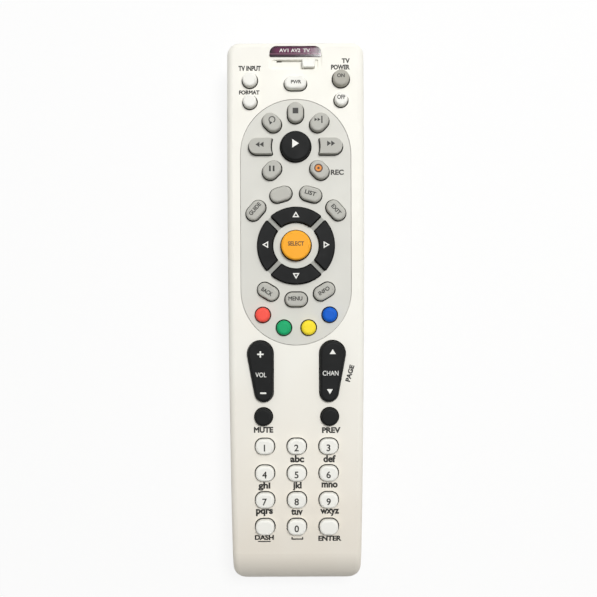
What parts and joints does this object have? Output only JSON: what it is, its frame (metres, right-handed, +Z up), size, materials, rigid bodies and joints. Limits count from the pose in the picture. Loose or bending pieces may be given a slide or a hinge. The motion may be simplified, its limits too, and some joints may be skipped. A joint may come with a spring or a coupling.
{
  "type": "satellite receiver remote control",
  "caption": "Long handheld remote with a flat keyed top, oval key surround, direction ring, rocker keys, number pad, mode slider, head-end window and sliding battery door.",
  "frame": {"origin": "on the table, under the middle of the flat back", "axes": "+Z up out of the key side, +Y towards the head end with the infrared window, +X to the right seen from above with the head end away from the viewer"},
  "size_m": [0.0564, 0.2232, 0.0288],
  "materials": {
    "white_shell": "injection-moulded ABS, fine satin",
    "grey_panel": "injection-moulded ABS, fine satin",
    "white_key": "satin moulded key cap",
    "grey_key": "satin moulded key cap",
    "black_key": "satin moulded key cap",
    "select_key": "satin moulded key cap",
    "red_key": "satin moulded key cap",
    "green_key": "satin moulded key cap",
    "yellow_key": "satin moulded key cap",
    "blue_key": "satin moulded key cap",
    "dark_window": "polished tinted polycarbonate",
    "tinned_steel": "tin-plated sheet steel",
    "silicone": "moulded silicone sheet",
    "board_laminate": "glass-epoxy laminate with solder mask",
    "black_epoxy": "moulded epoxy package",
    "component_case": "drawn metal cases",
    "led_epoxy": "clear cast epoxy",
    "cell_jacket": "printed film over a steel can",
    "nickel_plate": "nickel-plated spring steel",
    "zinc_screw": "zinc-plated steel"
  },
  "bodies": {
    "housing": {"front_shell": "white_shell", "rear_shell": "white_shell", "centre_panel": "grey_panel", "ir_window": "dark_window", "slide_switch": "tinned_steel", "keypad_sheet": "silicone", "circuit_board": "board_laminate", "controller_chip": "black_epoxy", "small_components": "component_case", "ir_leds": "led_epoxy", "batteries": "cell_jacket", "battery_contacts": "nickel_plate", "case_screws": "zinc_screw"},
    "tv_input_key": {"tv_input_key": "white_key"},
    "format_key": {"format_key": "white_key"},
    "power_key": {"power_key": "white_key"},
    "tv_off_key": {"tv_off_key": "white_key"},
    "dash_key": {"dash_key": "white_key"},
    "enter_key": {"enter_key": "white_key"},
    "number_0_key": {"number_0_key": "white_key"},
    "number_1_key": {"number_1_key": "white_key"},
    "number_2_key": {"number_2_key": "white_key"},
    "number_3_key": {"number_3_key": "white_key"},
    "number_4_key": {"number_4_key": "white_key"},
    "number_5_key": {"number_5_key": "white_key"},
    "number_6_key": {"number_6_key": "white_key"},
    "number_7_key": {"number_7_key": "white_key"},
    "number_8_key": {"number_8_key": "white_key"},
    "number_9_key": {"number_9_key": "white_key"},
    "skip_key": {"skip_key": "grey_key"},
    "stop_key": {"stop_key": "grey_key"},
    "replay_key": {"replay_key": "grey_key"},
    "pause_key": {"pause_key": "grey_key"},
    "record_key": {"record_key": "grey_key"},
    "forward_key": {"forward_key": "grey_key"},
    "rewind_key": {"rewind_key": "grey_key"},
    "guide_key": {"guide_key": "grey_key"},
    "shortcut_key": {"shortcut_key": "grey_key"},
    "list_key": {"list_key": "grey_key"},
    "exit_key": {"exit_key": "grey_key"},
    "back_key": {"back_key": "grey_key"},
    "menu_key": {"menu_key": "grey_key"},
    "info_key": {"info_key": "grey_key"},
    "tv_on_key": {"tv_on_key": "grey_key"},
    "play_key": {"play_key": "black_key"},
    "right_key": {"right_key": "black_key"},
    "up_key": {"up_key": "black_key"},
    "left_key": {"left_key": "black_key"},
    "down_key": {"down_key": "black_key"},
    "volume_key": {"volume_key": "black_key"},
    "channel_key": {"channel_key": "black_key"},
    "mute_key": {"mute_key": "black_key"},
    "previous_key": {"previous_key": "black_key"},
    "select_key": {"select_key": "select_key"},
    "red_key": {"red_key": "red_key"},
    "green_key": {"green_key": "green_key"},
    "yellow_key": {"yellow_key": "yellow_key"},
    "blue_key": {"blue_key": "blue_key"},
    "mode_slider": {"mode_slider": "white_key"},
    "battery_door": {"battery_door": "white_shell"}
  },
  "joints": [
    {"name": "tv_input_press", "type": "slide", "parent": "housing", "child": "tv_input_key", "axis": [0, 0, -1], "range_m": [0, 0.001], "stiffness_N_per_m": 800},
    {"name": "format_press", "type": "slide", "parent": "housing", "child": "format_key", "axis": [0, 0, -1], "range_m": [0, 0.001], "stiffness_N_per_m": 800},
    {"name": "power_press", "type": "slide", "parent": "housing", "child": "power_key", "axis": [0, 0, -1], "range_m": [0, 0.001], "stiffness_N_per_m": 800},
    {"name": "tv_off_press", "type": "slide", "parent": "housing", "child": "tv_off_key", "axis": [0, 0, -1], "range_m": [0, 0.001], "stiffness_N_per_m": 800},
    {"name": "dash_press", "type": "slide", "parent": "housing", "child": "dash_key", "axis": [0, 0, -1], "range_m": [0, 0.001], "stiffness_N_per_m": 800},
    {"name": "enter_press", "type": "slide", "parent": "housing", "child": "enter_key", "axis": [0, 0, -1], "range_m": [0, 0.001], "stiffness_N_per_m": 800},
    {"name": "number_0_press", "type": "slide", "parent": "housing", "child": "number_0_key", "axis": [0, 0, -1], "range_m": [0, 0.001], "stiffness_N_per_m": 800},
    {"name": "number_1_press", "type": "slide", "parent": "housing", "child": "number_1_key", "axis": [0, 0, -1], "range_m": [0, 0.001], "stiffness_N_per_m": 800},
    {"name": "number_2_press", "type": "slide", "parent": "housing", "child": "number_2_key", "axis": [0, 0, -1], "range_m": [0, 0.001], "stiffness_N_per_m": 800},
    {"name": "number_3_press", "type": "slide", "parent": "housing", "child": "number_3_key", "axis": [0, 0, -1], "range_m": [0, 0.001], "stiffness_N_per_m": 800},
    {"name": "number_4_press", "type": "slide", "parent": "housing", "child": "number_4_key", "axis": [0, 0, -1], "range_m": [0, 0.001], "stiffness_N_per_m": 800},
    {"name": "number_5_press", "type": "slide", "parent": "housing", "child": "number_5_key", "axis": [0, 0, -1], "range_m": [0, 0.001], "stiffness_N_per_m": 800},
    {"name": "number_6_press", "type": "slide", "parent": "housing", "child": "number_6_key", "axis": [0, 0, -1], "range_m": [0, 0.001], "stiffness_N_per_m": 800},
    {"name": "number_7_press", "type": "slide", "parent": "housing", "child": "number_7_key", "axis": [0, 0, -1], "range_m": [0, 0.001], "stiffness_N_per_m": 800},
    {"name": "number_8_press", "type": "slide", "parent": "housing", "child": "number_8_key", "axis": [0, 0, -1], "range_m": [0, 0.001], "stiffness_N_per_m": 800},
    {"name": "number_9_press", "type": "slide", "parent": "housing", "child": "number_9_key", "axis": [0, 0, -1], "range_m": [0, 0.001], "stiffness_N_per_m": 800},
    {"name": "skip_press", "type": "slide", "parent": "housing", "child": "skip_key", "axis": [0, 0, -1], "range_m": [0, 0.001], "stiffness_N_per_m": 800},
    {"name": "stop_press", "type": "slide", "parent": "housing", "child": "stop_key", "axis": [0, 0, -1], "range_m": [0, 0.001], "stiffness_N_per_m": 800},
    {"name": "replay_press", "type": "slide", "parent": "housing", "child": "replay_key", "axis": [0, 0, -1], "range_m": [0, 0.001], "stiffness_N_per_m": 800},
    {"name": "pause_press", "type": "slide", "parent": "housing", "child": "pause_key", "axis": [0, 0, -1], "range_m": [0, 0.001], "stiffness_N_per_m": 800},
    {"name": "record_press", "type": "slide", "parent": "housing", "child": "record_key", "axis": [0, 0, -1], "range_m": [0, 0.001], "stiffness_N_per_m": 800},
    {"name": "forward_press", "type": "slide", "parent": "housing", "child": "forward_key", "axis": [0, 0, -1], "range_m": [0, 0.001], "stiffness_N_per_m": 800},
    {"name": "rewind_press", "type": "slide", "parent": "housing", "child": "rewind_key", "axis": [0, 0, -1], "range_m": [0, 0.001], "stiffness_N_per_m": 800},
    {"name": "guide_press", "type": "slide", "parent": "housing", "child": "guide_key", "axis": [0, 0, -1], "range_m": [0, 0.001], "stiffness_N_per_m": 800},
    {"name": "shortcut_press", "type": "slide", "parent": "housing", "child": "shortcut_key", "axis": [0, 0, -1], "range_m": [0, 0.001], "stiffness_N_per_m": 800},
    {"name": "list_press", "type": "slide", "parent": "housing", "child": "list_key", "axis": [0, 0, -1], "range_m": [0, 0.001], "stiffness_N_per_m": 800},
    {"name": "exit_press", "type": "slide", "parent": "housing", "child": "exit_key", "axis": [0, 0, -1], "range_m": [0, 0.001], "stiffness_N_per_m": 800},
    {"name": "back_press", "type": "slide", "parent": "housing", "child": "back_key", "axis": [0, 0, -1], "range_m": [0, 0.001], "stiffness_N_per_m": 800},
    {"name": "menu_press", "type": "slide", "parent": "housing", "child": "menu_key", "axis": [0, 0, -1], "range_m": [0, 0.001], "stiffness_N_per_m": 800},
    {"name": "info_press", "type": "slide", "parent": "housing", "child": "info_key", "axis": [0, 0, -1], "range_m": [0, 0.001], "stiffness_N_per_m": 800},
    {"name": "tv_on_press", "type": "slide", "parent": "housing", "child": "tv_on_key", "axis": [0, 0, -1], "range_m": [0, 0.001], "stiffness_N_per_m": 800},
    {"name": "play_press", "type": "slide", "parent": "housing", "child": "play_key", "axis": [0, 0, -1], "range_m": [0, 0.001], "stiffness_N_per_m": 800},
    {"name": "right_press", "type": "slide", "parent": "housing", "child": "right_key", "axis": [0, 0, -1], "range_m": [0, 0.001], "stiffness_N_per_m": 800},
    {"name": "up_press", "type": "slide", "parent": "housing", "child": "up_key", "axis": [0, 0, -1], "range_m": [0, 0.001], "stiffness_N_per_m": 800},
    {"name": "left_press", "type": "slide", "parent": "housing", "child": "left_key", "axis": [0, 0, -1], "range_m": [0, 0.001], "stiffness_N_per_m": 800},
    {"name": "down_press", "type": "slide", "parent": "housing", "child": "down_key", "axis": [0, 0, -1], "range_m": [0, 0.001], "stiffness_N_per_m": 800},
    {"name": "volume_tip", "type": "hinge", "parent": "housing", "child": "volume_key", "pos_m": [-0.01402, -0.0232, 0.0223], "axis": [1, 0, 0], "range_deg": [-3.5, 3.5], "stiffness_Nm_per_rad": 0.16},
    {"name": "channel_tip", "type": "hinge", "parent": "housing", "child": "channel_key", "pos_m": [0.01402, -0.0232, 0.0223], "axis": [1, 0, 0], "range_deg": [-3.5, 3.5], "stiffness_Nm_per_rad": 0.16},
    {"name": "mute_press", "type": "slide", "parent": "housing", "child": "mute_key", "axis": [0, 0, -1], "range_m": [0, 0.001], "stiffness_N_per_m": 800},
    {"name": "previous_press", "type": "slide", "parent": "housing", "child": "previous_key", "axis": [0, 0, -1], "range_m": [0, 0.001], "stiffness_N_per_m": 800},
    {"name": "select_press", "type": "slide", "parent": "housing", "child": "select_key", "axis": [0, 0, -1], "range_m": [0, 0.001], "stiffness_N_per_m": 800},
    {"name": "red_press", "type": "slide", "parent": "housing", "child": "red_key", "axis": [0, 0, -1], "range_m": [0, 0.001], "stiffness_N_per_m": 800},
    {"name": "green_press", "type": "slide", "parent": "housing", "child": "green_key", "axis": [0, 0, -1], "range_m": [0, 0.001], "stiffness_N_per_m": 800},
    {"name": "yellow_press", "type": "slide", "parent": "housing", "child": "yellow_key", "axis": [0, 0, -1], "range_m": [0, 0.001], "stiffness_N_per_m": 800},
    {"name": "blue_press", "type": "slide", "parent": "housing", "child": "blue_key", "axis": [0, 0, -1], "range_m": [0, 0.001], "stiffness_N_per_m": 800},
    {"name": "mode_slide", "type": "slide", "parent": "housing", "child": "mode_slider", "axis": [1, 0, 0], "range_m": [-0.012, 0]},
    {"name": "door_slide", "type": "slide", "parent": "housing", "child": "battery_door", "axis": [0, -1, 0], "range_m": [0, 0.08]}
  ]
}
